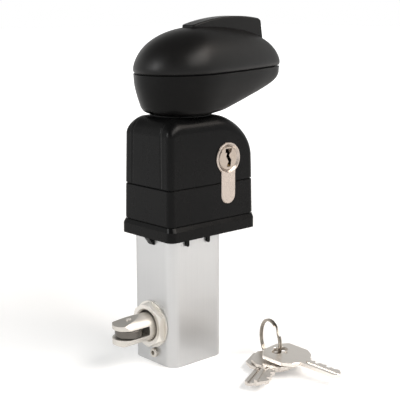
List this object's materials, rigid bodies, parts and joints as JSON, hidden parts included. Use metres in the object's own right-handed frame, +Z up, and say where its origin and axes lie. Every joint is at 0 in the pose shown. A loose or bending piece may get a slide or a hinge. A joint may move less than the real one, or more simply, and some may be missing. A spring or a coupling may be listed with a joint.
{
  "type": "gate lock",
  "caption": "Gate lock for a square post: teardrop handle on a black housing with a profile cylinder, a case tube with a sprung roller latch bolt, and a ring of keys.",
  "frame": {"origin": "centre of the case tube's lower end face", "axes": "+Z up along the case tube, -X the way the latch bolt points, -Y the face with the lock cylinder"},
  "size_m": [0.1172, 0.1146, 0.1828],
  "materials": {
    "anodised": "clear anodised, fine vertical extrusion lines",
    "stainless": "turned stainless steel, satin",
    "steel": "zinc plated steel",
    "nickel": "satin nickel plate",
    "brass": "plain brass",
    "bronze": "sintered bronze",
    "cast_alloy": "as cast",
    "black_plastic": "glass filled nylon, fine texture",
    "black_paint": "black powder coat, satin",
    "handle_black": "moulded, satin"
  },
  "bodies": {
    "case": {"case_tube": "anodised", "tube_screws": "stainless", "bottom_plug": "black_plastic", "base_flange": "black_plastic", "lower_housing": "black_paint", "upper_housing": "black_paint", "housing_screws": "stainless", "mid_plate": "steel", "cylinder_body": "nickel", "driver_pins": "brass", "pin_springs": "steel", "cylinder_fixing_screw": "stainless", "neck_bearing": "black_plastic", "spindle_support": "black_plastic", "lower_spindle_bush": "bronze", "return_spring": "steel", "bolt_guide_block": "black_plastic", "latch_bush": "nickel", "bush_lock_screw": "stainless"},
    "handle": {"spindle": "stainless", "spindle_circlip": "steel", "drive_crank": "steel", "crank_roll_pin": "steel", "locking_disc": "steel", "handle_hub": "cast_alloy", "handle_screw": "stainless", "handle_lower_shell": "handle_black", "handle_upper_shell": "handle_black", "shell_screws": "stainless", "grip_fin": "handle_black"},
    "plug": {"cylinder_plug": "nickel", "key_pins": "brass", "cylinder_cam": "steel", "cam_circlip": "steel"},
    "lock_bar": {"locking_slide": "steel"},
    "bolt": {"latch_bolt": "stainless", "roller_pin": "stainless", "bolt_yoke": "steel", "yoke_screws": "stainless"},
    "roller": {"bolt_roller": "stainless"},
    "ring": {"key_ring": "nickel"},
    "key_a": {"key_1": "nickel"},
    "key_b": {"key_2": "nickel"},
    "key_c": {"key_3": "nickel"}
  },
  "joints": [
    {"name": "handle_turn", "type": "hinge", "parent": "case", "child": "handle", "pos_m": [0.0028, 0, 0.15], "axis": [0, 0, 1], "range_deg": [0, 90], "stiffness_Nm_per_rad": 0.25, "springref_deg": -20.05},
    {"name": "bolt_slide", "type": "slide", "parent": "case", "child": "bolt", "axis": [1, 0, 0], "range_m": [0, 0.01415]},
    {"name": "roller_spin", "type": "hinge", "parent": "bolt", "child": "roller", "pos_m": [-0.0344, 0, 0.0209], "axis": [0, 0, 1], "continuous": true},
    {"name": "plug_turn", "type": "hinge", "parent": "case", "child": "plug", "pos_m": [0.01925, -0.01, 0.1091], "axis": [0, -1, 0], "range_deg": [0, 50]},
    {"name": "lock_slide", "type": "slide", "parent": "case", "child": "lock_bar", "axis": [0, 0, -1], "range_m": [0, 0.0104]},
    {"name": "key_lift", "type": "slide", "parent": "case", "child": "ring", "axis": [0, 0, 1], "range_m": [0, 0.2]},
    {"name": "key_1_swivel", "type": "hinge", "parent": "ring", "child": "key_a", "pos_m": [0.0253, -0.05235, 0.0087], "axis": [0, 0, 1], "range_deg": [-8, 8]},
    {"name": "key_2_swivel", "type": "hinge", "parent": "ring", "child": "key_b", "pos_m": [0.02658, -0.04865, 0.0031], "axis": [0, 0, 1], "range_deg": [-8, 8]},
    {"name": "key_3_swivel", "type": "hinge", "parent": "ring", "child": "key_c", "pos_m": [0.02591, -0.05061, 0.0051], "axis": [0, 0, 1], "range_deg": [-8, 8]}
  ],
  "couplings": [
    {"joint": "bolt_slide", "follows": "handle_turn", "m_per_rad": 0.009003},
    {"joint": "lock_slide", "follows": "plug_turn", "m_per_rad": 0.01191}
  ]
}
